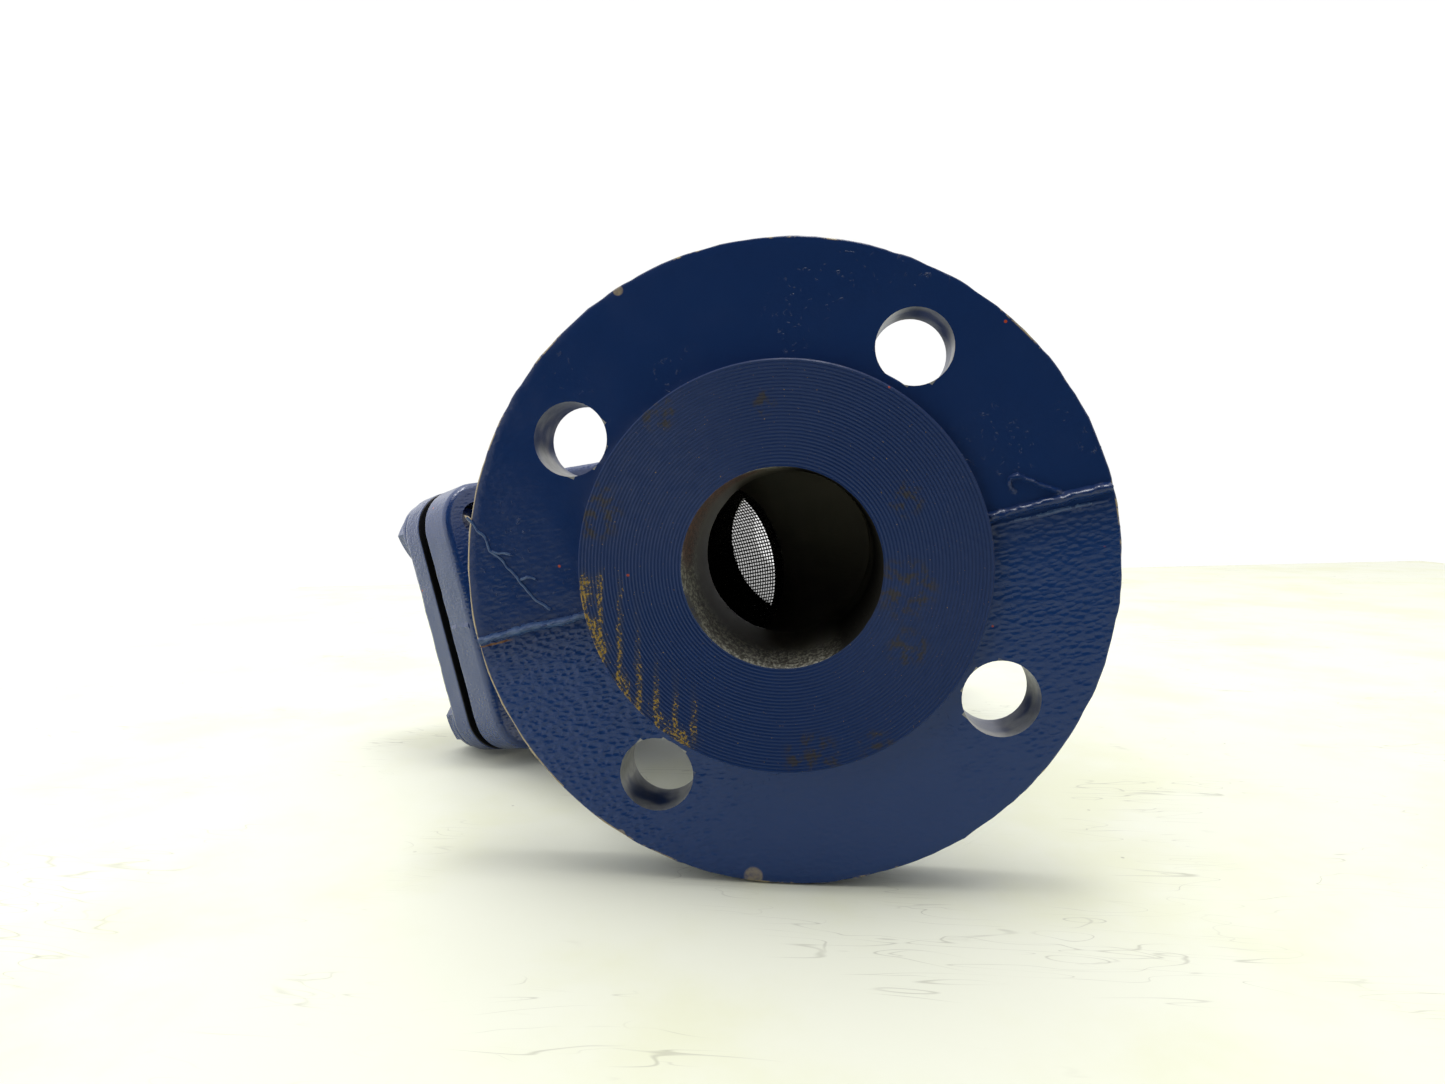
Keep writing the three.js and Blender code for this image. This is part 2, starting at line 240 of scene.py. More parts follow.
def loft(name, rings, capped=False):
    """A surface through rings of points. A ring shrunk to a point closes an end, and so does a cap."""
    rings = np.asarray(rings, float)
    count, around = rings.shape[:2]
    index = np.arange(count * around).reshape(count, around)
    here, there = index[:-1], index[1:]
    corners = [here, there, np.roll(there, -1, 1), np.roll(here, -1, 1)]
    faces = np.stack(corners, -1).reshape(-1, 4).tolist()
    if capped:
        faces += [index[0].tolist(), index[-1][::-1].tolist()]
    made = mesh_object(name, rings.reshape(-1, 3).tolist(), faces)
    tidy_mesh(made.data)
    return made


def refined(profile, step):
    """The profile with more points, no two further apart than the step."""
    points = [profile[0]]
    for start, end in zip(profile, profile[1:]):
        parts = max(1, math.ceil(math.dist(start, end) / step))
        for i in range(1, parts + 1):
            points.append([start[k] + (end[k] - start[k]) * i / parts for k in (0, 1)])
    return points


def arc(radius, along, size, from_degrees, to_degrees, steps=4):
    """Points on part of a circle, as [radius, along], about a centre."""
    angles = np.radians(np.linspace(from_degrees, to_degrees, steps + 1))
    return [[radius + size * math.cos(a), along + size * math.sin(a)] for a in angles]


def full_turn(count):
    """That many angles, evenly round a circle."""
    return np.linspace(0, 2 * math.pi, count, endpoint=False)


def circle(radius, along, angles):
    """Points at those angles round Y."""
    return [(radius * math.cos(a), along, radius * math.sin(a)) for a in angles]


def turned(name, profile, around, step=None):
    """A closed profile of [radius, distance along] turned about Y."""
    if step:
        profile = refined(profile, step)
    return loft(name, [circle(r, y, full_turn(around)) for r, y in profile])


def cylinder(radius, start, end):
    """A closed profile of a plain cylinder."""
    return [[0, start], [radius, start], [radius, end], [0, end]]


def rod(name, radius, start, end, around):
    return turned(name, cylinder(radius, start, end), around, radius)


def rounded_ring(inner, outer, start, end, rounding):
    """A closed profile of a ring with rounded edges."""
    return [
        *arc(inner + rounding, start + rounding, rounding, 180, 270, 3),
        *arc(outer - rounding, start + rounding, rounding, 270, 360, 3),
        *arc(outer - rounding, end - rounding, rounding, 0, 90, 3),
        *arc(inner + rounding, end - rounding, rounding, 90, 180, 3),
        [inner, start + rounding],
    ]


def square_outline(inset, per_side=40, per_corner=10):
    """Points round the leg flange's square outline, moved in by the inset, as [x, z]."""
    half = SQUARE.half - inset
    corner = max(SQUARE.corner - inset, 0)
    points = []
    for quarter in range(4):
        turn = quarter * math.pi / 2
        side = [(half, (half - corner) * t) for t in np.linspace(-1, 1, per_side)]
        angles = np.linspace(0, math.pi / 2, per_corner + 2)[1:-1]
        bend = [(half - corner + corner * math.cos(a), half - corner + corner * math.sin(a)) for a in angles]
        points += [
            (x * math.cos(turn) - z * math.sin(turn), x * math.sin(turn) + z * math.cos(turn))
            for x, z in side + bend
        ]
    return points


def edge_points(rounding, face, side):
    """A rounded edge as [inset, distance along], with a row of points close to each end."""
    angles = np.radians(np.linspace(0, 90, 5))
    bend = [[rounding * (1 - math.sin(a)), face + side * rounding * (1 - math.cos(a))] for a in angles]
    return [[rounding + 0.4, face], *bend, [0, face + side * (rounding + 0.4)]]


def square_plate(name, start, end, first_edge, last_edge, step):
    """A square plate with round corners, between two distances along Y, its edges rounded by those sizes."""
    profile = [
        [SQUARE.half, start],
        *edge_points(first_edge, start, 1),
        *reversed(edge_points(last_edge, end, -1)),
        [SQUARE.half, end],
    ]
    rings = [[(x, y, z) for x, z in square_outline(inset)] for inset, y in refined(profile, step)]
    return loft(name, rings)


def placed(obj, matrix):
    """The object with its mesh moved by the matrix."""
    obj.data.transform(matrix)
    obj.data.update()
    return obj


def applied(obj):
    """The object with its modifiers made part of its mesh."""
    bpy.context.view_layer.update()
    seen = obj.evaluated_get(bpy.context.evaluated_depsgraph_get())
    mesh = bpy.data.meshes.new_from_object(seen)
    obj.modifiers.clear()
    obj.data = mesh
    return obj


def combined(first, second, operation):
    """The first object after a UNION, DIFFERENCE or INTERSECT with the second, which is used up."""
    modifier = first.modifiers.new("combine", "BOOLEAN")
    modifier.operation = operation
    modifier.solver = "MANIFOLD"
    modifier.object = second
    applied(first)
    bpy.data.objects.remove(second)
    return first


def joined(first, *rest):
    for other in rest:
        combined(first, other, "UNION")
    return first


def cut(first, *cutters):
    for cutter in cutters:
        combined(first, cutter, "DIFFERENCE")
    return first


def remeshed(obj, voxel):
    """The object with an even grid of faces all over."""
    modifier = obj.modifiers.new("remesh", "REMESH")
    modifier.mode = "VOXEL"
    modifier.voxel_size = voxel
    return applied(obj)


def values_of(items, attribute, width, kind):
    """An attribute of each vertex, edge or face, in rows of that width."""
    found = np.empty(len(items) * width, kind)
    items.foreach_get(attribute, found)
    return found.reshape(-1, width)


def points_of(mesh):
    return values_of(mesh.vertices, "co", 3, float)


def normals_of(mesh):
    return values_of(mesh.vertices, "normal", 3, np.float32).astype(float)


def from_y(points):
    """Each point's distance from the Y axis."""
    return np.hypot(points[:, 0], points[:, 2])


def set_points(mesh, points):
    mesh.vertices.foreach_set("co", points.ravel())
    mesh.update()


def relaxed(obj, weights, rounds):
    """Moves each vertex towards the middle of its neighbours, by its weight, so many times."""
    mesh = obj.data
    edges = values_of(mesh.edges, "vertices", 2, np.int32)
    points = points_of(mesh)
    ends = np.concatenate([edges[:, 0], edges[:, 1]])
    others = np.concatenate([edges[:, 1], edges[:, 0]])
    neighbours = np.bincount(ends, minlength=len(points))[:, None]
    for _ in range(rounds):
        moved = [np.bincount(ends, points[others, k], len(points)) for k in range(3)]
        points += (np.stack(moved, 1) / neighbours - points) * weights[:, None]
    set_points(mesh, points)
    return obj


def noise_at(points, size, seed=0):
    """Smooth noise from -1 to 1 at each point, with lumps of that size."""
    shift = Vector((seed * 17.3, seed * 5.1, seed * 9.7))
    return np.array([noise.noise(Vector(p) / size + shift) for p in points])


def roughened(obj, amount, size, where=None):
    """Moves the surface in and out by smooth noise, by a weight at each point if there is one."""
    points = points_of(obj.data)
    weights = np.ones(len(points)) if where is None else where(points)
    moved = noise_at(points, size) + 0.5 * noise_at(points, size / 2.3, 1)
    set_points(obj.data, points + normals_of(obj.data) * (amount * weights * moved)[:, None])
    return obj


def smooth_shaded(obj, sharp_degrees=35):
    mesh = obj.data
    mesh.shade_smooth()
    mesh.set_sharp_from_angle(angle=math.radians(sharp_degrees))
    return obj


def faceted(obj, index):
    """Shows the faces of one material flat, as the sides of fine grooves are."""
    faces = obj.data.polygons
    indices = values_of(faces, "material_index", 1, np.int32)
    faces.foreach_set("use_smooth", indices.ravel() != index)
    return obj


def faced(obj, materials, choose=None):
    """Gives the object its materials; choose picks one for each face from the middles of the faces."""
    obj.data.materials.clear()
    for material in materials:
        obj.data.materials.append(material)
    faces = obj.data.polygons
    indices = np.zeros(len(faces), np.int32)
    if choose:
        indices = choose(values_of(faces, "center", 3, np.float32).astype(float)).astype(np.int32)
    faces.foreach_set("material_index", indices)
    return obj


def finished(obj, body, node):
    """Puts the object on its CAD body, in the place of that CAD node."""
    smooth_shaded(obj)
    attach(obj, body)
    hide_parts(node)
    return obj


def on_leg(obj, materials, body, slot, node, choose=None):
    """Finishes a piece that was made in the leg frame."""
    return finished(placed(faced(obj, materials, choose), LEG_AXES), body, node)


def in_leg(points):
    """Points in the pipe frame as [distance from the leg axis, distance out along it, and both offsets]."""
    turn = np.array(LEG_IN_PIPE.inverted())
    local = points @ turn[:3, :3].T + turn[:3, 3]
    return from_y(local), local[:, 1], local[:, 0], local[:, 2]


# ---------------------------------------------------------------- material building


class Value:
    """A number that varies over a surface, made by a node; values add, subtract and multiply."""

    def __init__(self, look, socket):
        self.look = look
        self.socket = socket

    def __add__(self, other):
        return self.look.math("ADD", self, other)

    def __sub__(self, other):
        return self.look.math("SUBTRACT", self, other)

    def __rsub__(self, other):
        return self.look.math("SUBTRACT", other, self)

    def __mul__(self, other):
        return self.look.math("MULTIPLY", self, other)

    def __abs__(self):
        return self.look.math("ABSOLUTE", self)

    def or_less(self, other):
        return self.look.math("MINIMUM", self, other)

    def or_more(self, other):
        return self.look.math("MAXIMUM", self, other)

    def between(self, low, high, to_low=0.0, to_high=1.0):
        """The value moved smoothly from one range to another, and held inside it."""
        inputs = {"Value": self, "From Min": low, "From Max": high, "To Min": to_low, "To Max": to_high}
        made = self.look.node("MapRange", inputs, interpolation_type="SMOOTHSTEP")
        return Value(self.look, made[0])


def rgba(color):
    """A color as a node takes it: a plain one gets an alpha, another node's output stays."""
    return color if isinstance(color, bpy.types.NodeSocket) else (*color, 1)


class Surface:
    """A material and its nodes, with coordinates in a frame's millimetres or the row's metres."""

    def __init__(self, name, axes, color, roughness, metallic=0.0, specular=0.5):
        self.material = bpy.data.materials.new(name)
        self.material.use_nodes = True
        self.tree = self.material.node_tree
        self.shader = self.tree.nodes["Principled BSDF"].inputs
        self.shader["Base Color"].default_value = rgba(color)
        self.shader["Roughness"].default_value = roughness
        self.shader["Metallic"].default_value = metallic
        self.shader["Specular IOR Level"].default_value = specular
        self.row_place = self.node("TexCoord")["Object"]
        self.place = self.in_frame(axes) if axes else self.row_place

    def feed(self, socket, value):
        """Sets an input to a plain value, or links it to a Value or a node's output."""
        if isinstance(value, Value):
            value = value.socket
        if isinstance(value, bpy.types.NodeSocket):
            self.tree.links.new(value, socket)
        else:
            socket.default_value = value

    def use(self, **inputs):
        """Feeds the shader's own inputs, such as base_color, and returns the material."""
        for name, value in inputs.items():
            self.feed(self.shader[name.replace("_", " ").title()], value)
        return self.material

    def node(self, kind, inputs=None, **settings):
        """The outputs of a new node."""
        made = self.tree.nodes.new("ShaderNode" + kind)
        for name, value in settings.items():
            setattr(made, name, value)
        for key, value in (inputs or {}).items():
            self.feed(made.inputs[key], value)
        return made.outputs

    def math(self, operation, first, second=0.0):
        return Value(self, self.node("Math", {0: first, 1: second}, operation=operation)[0])

    def in_frame(self, axes):
        """Coordinates in millimetres in one of the frames."""
        spot, turn, size = axes.decompose()
        inputs = {"Location": spot, "Rotation": turn.to_euler(), "Scale": size}
        return self.node("Mapping", {"Vector": self.row_place, **inputs}, vector_type="TEXTURE")[0]

    def stretched(self, *sizes):
        return self.node("VectorMath", {0: self.place, 1: sizes}, operation="MULTIPLY")[0]

    def xyz(self, at=None):
        """The x, y and z of the coordinates."""
        return [Value(self, part) for part in self.node("SeparateXYZ", {"Vector": at or self.place})]

    def noise(self, scale, detail=2.0, roughness=0.5, distortion=0.0, at=None):
        inputs = {"Vector": at or self.place, "Scale": scale, "Detail": detail}
        inputs.update({"Roughness": roughness, "Distortion": distortion})
        return Value(self, self.node("TexNoise", inputs)["Fac"])

    def cells(self, scale, at=None):
        """The distance to the nearest of many scattered points."""
        return Value(self, self.node("TexVoronoi", {"Vector": at or self.place, "Scale": scale})["Distance"])

    def blend(self, share, first, second):
        """One color turning into the other."""
        inputs = {"Factor": share, 6: rgba(first), 7: rgba(second)}
        return self.node("Mix", inputs, data_type="RGBA")[2]

    def from_axis(self):
        """The distance from the frame's Y axis."""
        x, _, z = self.xyz()
        flat = self.node("CombineXYZ", {"X": x, "Z": z})[0]
        return Value(self, self.node("VectorMath", {0: flat}, operation="LENGTH")["Value"])

    def near(self, point, radius):
        """1 at the point, falling to 0 at the radius."""
        distance = self.node("VectorMath", {0: self.place, 1: point}, operation="DISTANCE")["Value"]
        return Value(self, distance).between(0, radius, 1, 0)

    def bump(self, height, depth, under=None):
        """The surface raised by the height, times a depth in millimetres."""
        inputs = {"Height": height, "Distance": depth * MM}
        if under:
            inputs["Normal"] = under
        return self.node("Bump", inputs)[0]


def primer_specks(look):
    """A few small spots where the red primer shows."""
    chance = look.noise(0.07, 0).between(0.6, 0.64)
    return look.cells(0.13).between(0.035, 0.065, 1, 0) * chance


def paint_coat(look, ripples, lit_share):
    """Blue gloss paint over the casting's skin; returns its color and its relief."""
    color = look.blend(look.noise(0.05, 3), NAVY, NAVY_LIGHT)
    # The share given turns the blue towards the lighter navy: painted light.
    color = look.blend(lit_share, color, NAVY_LIT)
    color = look.blend(primer_specks(look), color, PRIMER)
    grain = look.bump(look.noise(1.1, 3, 0.6), 0.035)
    worms = abs(look.noise(0.33, 2, 0.5, 0.8) - 0.5).between(0, 0.02, 1, 0)
    short = look.noise(0.6, 1).between(0.58, 0.64)
    lines = worms * short * look.noise(0.04, 1).between(0.5, 0.62)
    wide = look.stretched(0.62, 1, 1.15)
    hollows = look.cells(0.68, at=wide).between(0.05, 0.75)
    lumps = (hollows + look.noise(0.9, 2, at=wide)) * ripples
    return color, look.bump(lumps, 0.26, look.bump(lines, 0.08, grain))


def rim_chips_and_edge_highlight(look):
    """Bare metal along the flange rims, mostly on the leg's side, where the thin line is also a painted
    highlight on the rim edge, and a few larger chips.
    """
    x, y, z = look.xyz()
    at_rim = look.from_axis().between(FLANGE.radius - 0.7, FLANGE.radius - 0.3)
    face = abs(z) * FLANGE.draft + RAISED_FACE.height
    at_edge = (y.or_less(FACE_TO_FACE - y) - face).between(1.1, 0.5)
    # The extra share on the leg side paints the rim edge's highlight as well as wear.
    worn = look.noise(0.07, 5, 0.75) + x.between(-30, -60, 0, 0.14)
    chips = at_rim * at_edge * worn.between(0.56, 0.62)
    for point, size in RIM_CHIPS:
        spot = look.near(point, size).between(0.35, 0.6)
        chips = chips.or_more(spot * look.noise(0.9, 3))
    return chips


def seam_rust(look):
    """A thin line of rust under the leg side's ridge, out at the rim."""
    height = look.xyz()[2]
    wavy = abs(height + SEAM_DROP) + look.noise(0.8, 3) * 0.8
    return wavy.between(0.75, 0.5) * look.near(SEAM_RUST, 9).between(0.1, 0.6)


def casting_paint():
    """The paint on cast surfaces: orange peel below the parting line and towards the sides, and a lighter
    navy below as painted reflection of the floor.
    """
    look = Surface("casting_paint", PIPE, NAVY, 0.22, specular=0.32)
    x, _, z = look.xyz()
    wander = (look.noise(0.06, 3) - 0.5) * 36
    aside = (abs(x) + wander).between(20, 52, 0.2, 1) * x.between(0, 45, 1, 0.4)
    ripples = aside * (z.between(1, -5) + x.between(-45, -60, 0, 0.16))
    # Lighter navy below the parting plane: painted reflection of the bright floor.
    color, relief = paint_coat(look, ripples, z.between(1, -16))
    # Rim chips, with the painted highlight along the leg side's rim edge.
    color = look.blend(rim_chips_and_edge_highlight(look), color, CHIPPED_AND_EDGE_HIGHLIGHT)
    color = look.blend(seam_rust(look), color, RUST)
    dull = look.noise(0.09, 4).between(0.3, 0.7, 0.14, 0.26)
    return look.use(base_color=color, roughness=dull, normal=relief)


def rust_streaks(look):
    """How worn the leg side of the raised face is, and the dotted upright streaks of rust there."""
    radius = look.from_axis()
    across = look.xyz(look.row_place)[0] * (2 * math.pi / (STREAK_GAP * MM))
    lines = look.math("SINE", across + look.noise(0.16, 1) * 3.0).between(-0.1, 1)
    patches = look.noise(0.16, 2).between(0.38, 0.58)
    edge = radius.between(45.5, 50) * patches
    side = look.near((-48, 0, -4), 20).or_more(look.near((-40, 0, -27), 19))
    worn = (lines * radius.between(33, 50.5)).or_more(edge) * side.between(0.05, 0.35)
    dots = look.noise(1.3, 4, 0.7) - (0.67 - worn * 0.19)
    return worn, dots.between(0, 0.04)


def face_paint():
    """The thin paint on the turned raised faces, worn through to rust on one side."""
    look = Surface("face_paint", PIPE, NAVY_LIGHT, 0.4, specular=0.2)
    color = look.blend(look.noise(0.08, 4), NAVY, NAVY_LIGHT)
    patchy = look.noise(0.35, 4, 0.65).between(0.45, 0.62)
    for x, z, size in STAINS:
        share = look.near((x, 0, z), size).between(0.1, 0.6) * patchy
        color = look.blend(share * 0.8, color, STAIN)
    worn, dots = rust_streaks(look)
    color = look.blend(worn * 0.4, color, WORN)
    color = look.blend(dots, color, OCHRE)
    color = look.blend(primer_specks(look), color, PRIMER)
    dull = look.noise(0.3, 4).between(0.3, 0.7, 0.32, 0.5)
    relief = look.bump(look.noise(1.4, 3), 0.03)
    return look.use(base_color=color, roughness=dull, normal=relief)


def bare_iron():
    """The bores' cast wall: grainy grey and brown in one place, with painted shade: a darker, flatter tone
    deeper in and near black away from the leg.
    """
    look = Surface("bare_iron", PIPE, (0.2, 0.19, 0.16), 0.42)
    x, y, _ = look.xyz()
    drawn = look.stretched(1, 0.35, 1)
    grain = look.noise(1.1, 4, 0.8, at=drawn).between(0.47, 0.58)
    grey = look.blend(grain, (0.08, 0.076, 0.06), (0.52, 0.51, 0.42))
    brown = look.blend(grain, (0.05, 0.028, 0.015), (0.2, 0.09, 0.05))
    color = look.blend(look.near((-16, 13, 20), 33).between(0.3, 0.6), grey, brown)
    painted = look.near((-24.5, 1, -5), 9).between(0.3, 0.6) * grain
    color = look.blend(painted, color, NAVY_LIGHT)
    # Past the bore's mouth the wall takes a darker, flatter tone: painted shade deeper in the bore.
    deep = y.between(14, 34)
    deep_shade_tone = look.blend(x.between(-12, -2), (0.1, 0.085, 0.065), (0.2, 0.19, 0.155))
    color = look.blend(deep, color, deep_shade_tone)
    # The side away from the leg is painted near black as shade where the light does not reach, and made
    # dull.
    away = x.between(0, 11)
    color = look.blend(away * y.between(75, 45), color, (0.018, 0.0175, 0.015))
    dull = y.between(100, 130).between(0, 1, 0.42, 0.12) + away * 0.5
    rough = look.noise(0.9, 4, 0.6, at=drawn) * deep.between(0, 1, 1, 0.15)
    look.feed(look.shader["Specular IOR Level"], away.between(0, 1, 0.6, 0))
    return look.use(base_color=color, roughness=dull, normal=look.bump(rough, 0.45))


def drilled_wall():
    """The walls of the drilled holes, partly painted."""
    look = Surface("drilled_wall", PIPE, (0.4, 0.4, 0.4), 0.35, 0.3)
    grey = look.blend(look.noise(0.5, 3), (0.14, 0.145, 0.15), (0.42, 0.42, 0.4))
    color = look.blend(look.noise(0.06, 2).between(0.44, 0.6), grey, NAVY_LIGHT)
    rings = look.noise(1.2, 2, at=look.stretched(0.15, 2.5, 0.15))
    return look.use(base_color=color, normal=look.bump(rings, 0.06))


def machined_iron():
    """Turned iron that a gasket lies on, painted near black outside it as the shade in the gap between the
    leg flange and the cover.
    """
    look = Surface("machined_iron", LEG_AXES, (0.22, 0.21, 0.2), 0.35, 0.9)
    radius = look.from_axis()
    color = look.blend(look.noise(0.15, 4), (0.12, 0.11, 0.10), (0.3, 0.29, 0.27))
    # Outside the gasket the iron turns near black and not metallic: painted shade in the narrow gap.
    gap_shade = (radius + look.noise(0.3, 3)).between(44.5, 46.5)
    color = look.blend(gap_shade, color, (0.006, 0.0065, 0.008))
    turned_lines = look.bump(look.math("SINE", radius * 9.0), 0.015)
    return look.use(base_color=color, metallic=0.9 - gap_shade * 0.9, normal=turned_lines)


def leg_metal(name, dark, light, roughness, metallic=1.0, depth=0.02, scale=0.12):
    """A metal with patches of two tones, on the pieces along the leg."""
    look = Surface(name, LEG_AXES, light, roughness, metallic)
    color = look.blend(look.noise(scale, 5, 0.6).between(0.3, 0.7), dark, light)
    dull = look.noise(scale * 2, 3).between(0.3, 0.7, roughness - 0.04, roughness + 0.08)
    relief = look.bump(look.noise(3.0, 3), depth)
    return look.use(base_color=color, roughness=dull, normal=relief)


def cover_paint():
    """The same paint on the cover, its bolts and washers, mostly in the lighter navy as painted light on
    their sides.
    """
    look = Surface("cover_paint", LEG_AXES, NAVY, 0.24, specular=0.75)
    ripples = look.noise(0.04, 2).between(0.35, 0.65, 0.06, 0.4)
    color, relief = paint_coat(look, ripples, 0.8)
    return look.use(base_color=color, normal=relief)


# ---------------------------------------------------------------- body


def grooved_face():
    """The turned raised face as profile points, from inside the bore to its edge."""
    start, end = BORE_RADIUS - PAST, RAISED_FACE.radius - 0.4
    grooves = int((end - start) / RAISED_FACE.pitch)
    radii = np.linspace(start, end, 2 * grooves + 1)
    return [[r, RAISED_FACE.depth * (i % 2)] for i, r in enumerate(radii)]


def flange_profile():
    """One flange as a closed profile, its face at 0 and its neck end inside the neck."""
    rim, size = FLANGE.radius, FLANGE.rounding
    top, height = RAISED_FACE.radius, RAISED_FACE.height
    back, fillet = FLANGE.back, FLANGE.fillet
    face = refined([[top + 0.3, height], [rim - size, height]], 2)
    side = refined([[rim, height + size], [rim, back - size]], 2.5)
    rear = refined([[rim - size, back], [NECK_RADIUS + fillet, back]], 4)
    bend = arc(NECK_RADIUS + fillet, back + fillet, fillet, 270, 184, 6)
    return [
        [0, 0.5],
        *grooved_face(),
        [top, 0.4],
        [top, height - 0.4],
        *face,
        *arc(rim - size, height + size, size, -60, -30, 1),
        *side,
        *arc(rim - size, back - size, size, 30, 60, 1),
        *rear,
        *bend,
        [NECK_RADIUS - 1, back + fillet + 1],
        [0, back + fillet + 1],
    ]


def flange(name):
    """A flange at the inlet, its cast face falling away from the parting plane on both sides."""
    made = turned(name, flange_profile(), AROUND.flange)
    points = points_of(made.data)
    radius = from_y(points)
    cast = np.clip((radius - RAISED_FACE.radius) / 0.5, 0, 1)
    front = np.clip((FLANGE.back - 2 - points[:, 1]) / 10, 0, 1)
    points[:, 1] += FLANGE.draft * np.abs(points[:, 2]) * cast * front
    at_rim = np.clip((radius - FLANGE.radius + 1.5) / 1.5, 0, 1)
    ragged = 1 + at_rim * (0.2 * noise_at(points, 5) + 0.1 * noise_at(points, 2)) / radius.clip(1)
    points[:, [0, 2]] *= ragged[:, None]
    set_points(made.data, points)
    return roughened(made, *FLANGE_SKIN, lambda spots: np.clip(from_y(spots) - RAISED_FACE.radius, 0, 1))


def belly_profile():
    """The run between the flanges as a closed profile, swelling round the chamber."""
    ends = (FLANGE.back - 5, FACE_TO_FACE - FLANGE.back + 5)
    points = [[0, ends[0]], [NECK_RADIUS, ends[0]]]
    for start, end, low, high in (
        (BELLY.rises, BELLY.full_from, NECK_RADIUS, BELLY.radius),
        (BELLY.full_to, BELLY.falls, BELLY.radius, NECK_RADIUS),
    ):
        for share in np.linspace(0, 1, 9):
            rise = (1 - math.cos(math.pi * share)) / 2
            points.append([low + (high - low) * rise, start + (end - start) * share])
    return [*points, [NECK_RADIUS, ends[1]], [0, ends[1]]]


def leg_profile():
    """The leg's outside as a closed profile, from its rounded end into its flange."""
    foot = LEG_FLANGE.back + PAST
    return [
        *arc(0, LEG.start, LEG.radius, -90, 0, 12),
        [LEG.radius, LEG_FLANGE.back - LEG.flare_length],
        [LEG.flare, foot],
        [0, foot],
    ]


def run_radius(along):
    """The run's outside radius at each distance along the pipe."""
    profile = belly_profile()[1:-1]
    return np.interp(along, [y for _, y in profile], [r for r, _ in profile])


def cast_run_and_leg():
    """The run and the leg as one rough skin, blended where they meet, with the parting line round it."""
    run = turned("run", belly_profile(), AROUND.cast)
    leg = placed(turned("leg", leg_profile(), AROUND.cast), LEG_IN_PIPE)
    skin = remeshed(joined(run, leg), CAST_VOXEL)
    points = points_of(skin.data)
    from_run = np.abs(from_y(points) - run_radius(points[:, 1]))
    from_leg = np.abs(in_leg(points)[0] - LEG.radius)
    relaxed(skin, np.full(len(points), 0.5), 2)
    relaxed(skin, np.clip(1 - np.maximum(from_run, from_leg) / 8, 0, 1) * 0.6, 40)
    points = points_of(skin.data)
    half_width, height = 1.7, 0.55
    ridge = np.clip(1 - np.abs(points[:, 2]) / half_width, 0, 1) * (0.6 + 0.4 * noise_at(points, 4))
    set_points(skin.data, points + normals_of(skin.data) * (height * ridge)[:, None])
    return roughened(skin, *CAST_SKIN)


def leg_flange():
    """The square flange at the leg's end, with its round facing."""
    end = LEG_FLANGE.square_face
    edges = (SQUARE.cast_edge, SQUARE.crisp_edge)
    plate = square_plate("leg_flange", LEG_FLANGE.back, end, *edges, 2.5)
    facing = rod("leg_facing", LEG_FLANGE.facing, end - PAST, LEG_FLANGE.face, 2 * AROUND.small)
    edge = SQUARE.half - 2

    def on_sides(points):
        return np.clip(np.max(np.abs(points[:, [0, 2]]), 1) - edge, 0, 1)

    return placed(joined(roughened(plate, *SIDE_DENTS, on_sides), facing), LEG_IN_PIPE)


def cast_face(z):
    """How far back the inlet flange's cast face lies, at a distance from the parting plane."""
    return RAISED_FACE.height + FLANGE.draft * np.abs(z)


def crest_height(x, z, crest):
    """The height at each point of a ridge along a line of [x, z, half width, height]."""
    height = np.zeros_like(x)
    for (x0, z0, w0, h0), (x1, z1, w1, h1) in zip(crest, crest[1:]):
        run, rise = x1 - x0, z1 - z0
        share = np.clip(((x - x0) * run + (z - z0) * rise) / (run**2 + rise**2), 0, 1)
        off = np.hypot(x - x0 - share * run, z - z0 - share * rise)
        width, top = w0 + share * (w1 - w0), h0 + share * (h1 - h0)
        height = np.maximum(height, top * np.clip(1 - (off / width) ** 2, 0, 1))
    return height


def face_ridge(name, crests, seed):
    """The parting line's ridge on the flange face, as a thin block with its crests on top."""
    sunk, deep, reach = 0.3, 2.5, 10
    inner, outer = RAISED_FACE.radius - 0.6, FLANGE.radius - 0.7
    sign = 1 if crests[0][0][0] > 0 else -1
    across = np.linspace(-reach, reach, 71)
    rings = []
    for x in np.linspace(inner, outer, 70) * sign:
        points = np.stack([np.full_like(across, x), np.zeros_like(across), across], 1)
        ragged = 0.25 * noise_at(points, 3, seed) + 0.13 * noise_at(points, 1.2, seed)
        height = np.max([crest_height(points[:, 0], across + ragged, crest) for crest in crests], 0)
        height *= 1 + 0.3 * noise_at(points, 2.6, seed + 1) + 0.2 * noise_at(points, 1.1, seed + 1)
        top = [(x, y, z) for y, z in zip(cast_face(across) + sunk - height, across)]
        rings.append(top + [(x, RAISED_FACE.height + deep, z) for z in across[::-1]])
    return loft(name, rings, capped=True)


def paint_run(path):
    """A thin run of paint over the flange face, half sunk in it, along points of [x, z]."""
    path = np.array(refined(path, 0.8))
    spots = np.stack([path[:, 0], np.zeros(len(path)), path[:, 1]], 1)
    path += 0.6 * np.stack([noise_at(spots, 2.5, 3), noise_at(spots, 2.5, 4)], 1)
    sizes = PAINT_RUN_RADIUS * (1 + 0.4 * noise_at(spots, 1.5, 5))
    sizes[[0, -1]] = 0.02
    ways = np.gradient(path, axis=0)
    ways /= np.linalg.norm(ways, axis=1)[:, None]
    heights = cast_face(path[:, 1]) + 0.15 * PAINT_RUN_RADIUS
    angles = full_turn(8)
    rings = [
        [(x + r * math.cos(a) * way[1], y + r * math.sin(a), z - r * math.cos(a) * way[0]) for a in angles]
        for (x, z), y, r, way in zip(path, heights, sizes, ways)
    ]
    return loft("paint_run", rings, capped=True)


